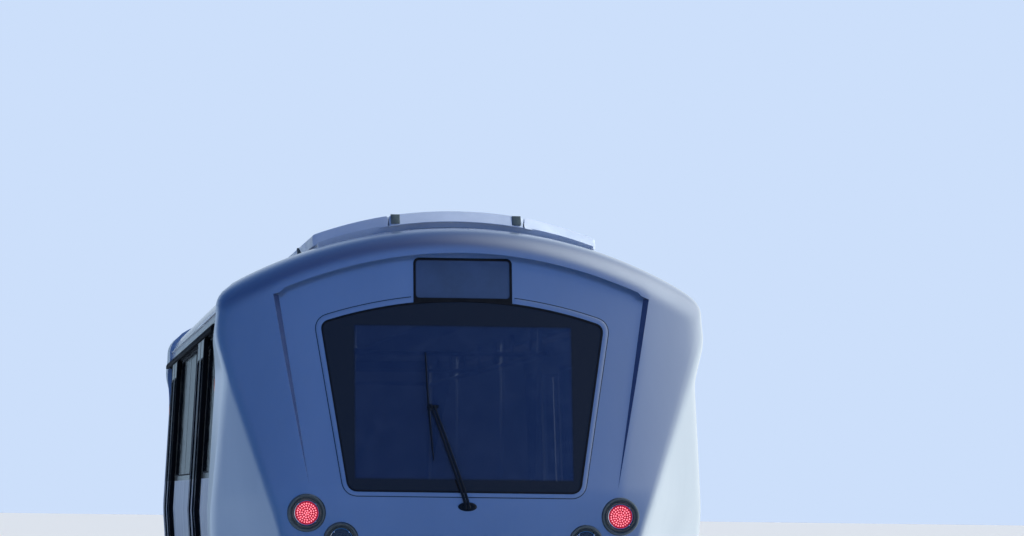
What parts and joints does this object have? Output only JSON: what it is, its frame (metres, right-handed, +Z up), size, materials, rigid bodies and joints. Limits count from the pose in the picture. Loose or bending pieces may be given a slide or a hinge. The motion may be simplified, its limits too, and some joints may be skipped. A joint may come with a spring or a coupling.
{
  "type": "people mover car",
  "caption": "Airport people mover car on steel wheels, with a raked cab at each end, sliding double doors, bogies and a hollow saloon.",
  "frame": {"origin": "on the centre line midway between the couplers, at the lowest point of the wheel flanges", "axes": "+X along the car towards its front end, +Y towards its left side, +Z up"},
  "size_m": [17.7, 3.272, 3.794],
  "materials": {
    "body_paint": "satin metallic silver",
    "lower_paint": "satin grey",
    "roof_paint": "matte silver grey",
    "cowl_paint": "matte pale grey",
    "tinted_glass": "gloss dark tint",
    "sign_face": "gloss black",
    "black_trim": "matte black",
    "seal_rubber": "matte black",
    "lamp_bezel": "satin dark grey",
    "lamp_lens": "clear gloss red",
    "lining": "matte off-white",
    "floor_cover": "matte speckled grey",
    "seat_shell": "satin blue",
    "pole_steel": "brushed",
    "frame_paint": "matte dark grey",
    "bogie_paint": "matte dark grey",
    "motor_casing": "matte",
    "coupler_steel": "matte cast",
    "wheel_steel": "dull brown steel, bright on the tread"
  },
  "bodies": {
    "car_body": {"underframe": "frame_paint", "side_wall_left": "body_paint", "side_wall_right": "body_paint", "roof": "roof_paint", "roof_cowl": "cowl_paint", "ceiling": "lining", "grab_poles_left": "pole_steel", "grab_poles_right": "pole_steel", "grab_cross_bar_front": "pole_steel", "grab_cross_bar_middle": "pole_steel", "grab_cross_bar_rear": "pole_steel", "seats_left": "seat_shell", "seats_right": "seat_shell", "power_equipment_box": "frame_paint", "battery_box": "frame_paint", "window_left_front": "tinted_glass", "window_left_middle": "tinted_glass", "window_left_rear": "tinted_glass", "window_right_front": "tinted_glass", "window_right_middle": "tinted_glass", "window_right_rear": "tinted_glass", "end_cap_front": "body_paint", "end_cap_rear": "body_paint", "windscreen_front": "tinted_glass", "windscreen_rear": "tinted_glass", "destination_sign_front": "sign_face", "destination_sign_rear": "sign_face", "wiper_front": "black_trim", "wiper_rear": "black_trim", "lamps_front_left": "lamp_bezel", "lamps_front_right": "lamp_bezel", "lamps_rear_left": "lamp_bezel", "lamps_rear_right": "lamp_bezel", "bumper_front": "frame_paint", "bumper_rear": "frame_paint", "coupler_front": "coupler_steel", "coupler_rear": "coupler_steel", "console_front": "lining", "console_rear": "lining"},
    "bogie_front": {"bogie_frame_front": "bogie_paint", "linear_motor_front": "motor_casing"},
    "bogie_rear": {"bogie_frame_rear": "bogie_paint", "linear_motor_rear": "motor_casing"},
    "wheels_front_outer": {"wheelset_front_outer": "wheel_steel"},
    "wheels_front_inner": {"wheelset_front_inner": "wheel_steel"},
    "wheels_rear_outer": {"wheelset_rear_outer": "wheel_steel"},
    "wheels_rear_inner": {"wheelset_rear_inner": "wheel_steel"},
    "leaf_left_front_fore": {"door_left_front_fore": "body_paint"},
    "leaf_left_front_aft": {"door_left_front_aft": "body_paint"},
    "leaf_left_rear_fore": {"door_left_rear_fore": "body_paint"},
    "leaf_left_rear_aft": {"door_left_rear_aft": "body_paint"},
    "leaf_right_front_fore": {"door_right_front_fore": "body_paint"},
    "leaf_right_front_aft": {"door_right_front_aft": "body_paint"},
    "leaf_right_rear_fore": {"door_right_rear_fore": "body_paint"},
    "leaf_right_rear_aft": {"door_right_rear_aft": "body_paint"}
  },
  "joints": [
    {"name": "bogie_front_yaw", "type": "hinge", "parent": "car_body", "child": "bogie_front", "pos_m": [5.6, 0, 0.76], "axis": [0, 0, 1], "range_deg": [-5, 5]},
    {"name": "bogie_rear_yaw", "type": "hinge", "parent": "car_body", "child": "bogie_rear", "pos_m": [-5.6, 0, 0.76], "axis": [0, 0, 1], "range_deg": [-5, 5]},
    {"name": "wheels_front_outer_roll", "type": "hinge", "parent": "bogie_front", "child": "wheels_front_outer", "pos_m": [6.45, 0, 0.32], "axis": [0, 1, 0], "continuous": true},
    {"name": "wheels_front_inner_roll", "type": "hinge", "parent": "bogie_front", "child": "wheels_front_inner", "pos_m": [4.75, 0, 0.32], "axis": [0, 1, 0], "continuous": true},
    {"name": "wheels_rear_outer_roll", "type": "hinge", "parent": "bogie_rear", "child": "wheels_rear_outer", "pos_m": [-6.45, 0, 0.32], "axis": [0, 1, 0], "continuous": true},
    {"name": "wheels_rear_inner_roll", "type": "hinge", "parent": "bogie_rear", "child": "wheels_rear_inner", "pos_m": [-4.75, 0, 0.32], "axis": [0, 1, 0], "continuous": true},
    {"name": "door_left_front_slide", "type": "slide", "parent": "car_body", "child": "leaf_left_front_fore", "axis": [1, 0, 0], "range_m": [0, 0.85]},
    {"name": "door_left_front_aft_slide", "type": "slide", "parent": "car_body", "child": "leaf_left_front_aft", "axis": [-1, 0, 0], "range_m": [0, 0.85]},
    {"name": "door_left_rear_slide", "type": "slide", "parent": "car_body", "child": "leaf_left_rear_fore", "axis": [1, 0, 0], "range_m": [0, 0.85]},
    {"name": "door_left_rear_aft_slide", "type": "slide", "parent": "car_body", "child": "leaf_left_rear_aft", "axis": [-1, 0, 0], "range_m": [0, 0.85]},
    {"name": "door_right_front_slide", "type": "slide", "parent": "car_body", "child": "leaf_right_front_fore", "axis": [1, 0, 0], "range_m": [0, 0.85]},
    {"name": "door_right_front_aft_slide", "type": "slide", "parent": "car_body", "child": "leaf_right_front_aft", "axis": [-1, 0, 0], "range_m": [0, 0.85]},
    {"name": "door_right_rear_slide", "type": "slide", "parent": "car_body", "child": "leaf_right_rear_fore", "axis": [1, 0, 0], "range_m": [0, 0.85]},
    {"name": "door_right_rear_aft_slide", "type": "slide", "parent": "car_body", "child": "leaf_right_rear_aft", "axis": [-1, 0, 0], "range_m": [0, 0.85]}
  ],
  "couplings": [
    {"joint": "door_left_front_aft_slide", "follows": "door_left_front_slide", "ratio": 1},
    {"joint": "door_left_rear_aft_slide", "follows": "door_left_rear_slide", "ratio": 1},
    {"joint": "door_right_front_aft_slide", "follows": "door_right_front_slide", "ratio": 1},
    {"joint": "door_right_rear_aft_slide", "follows": "door_right_rear_slide", "ratio": 1}
  ]
}
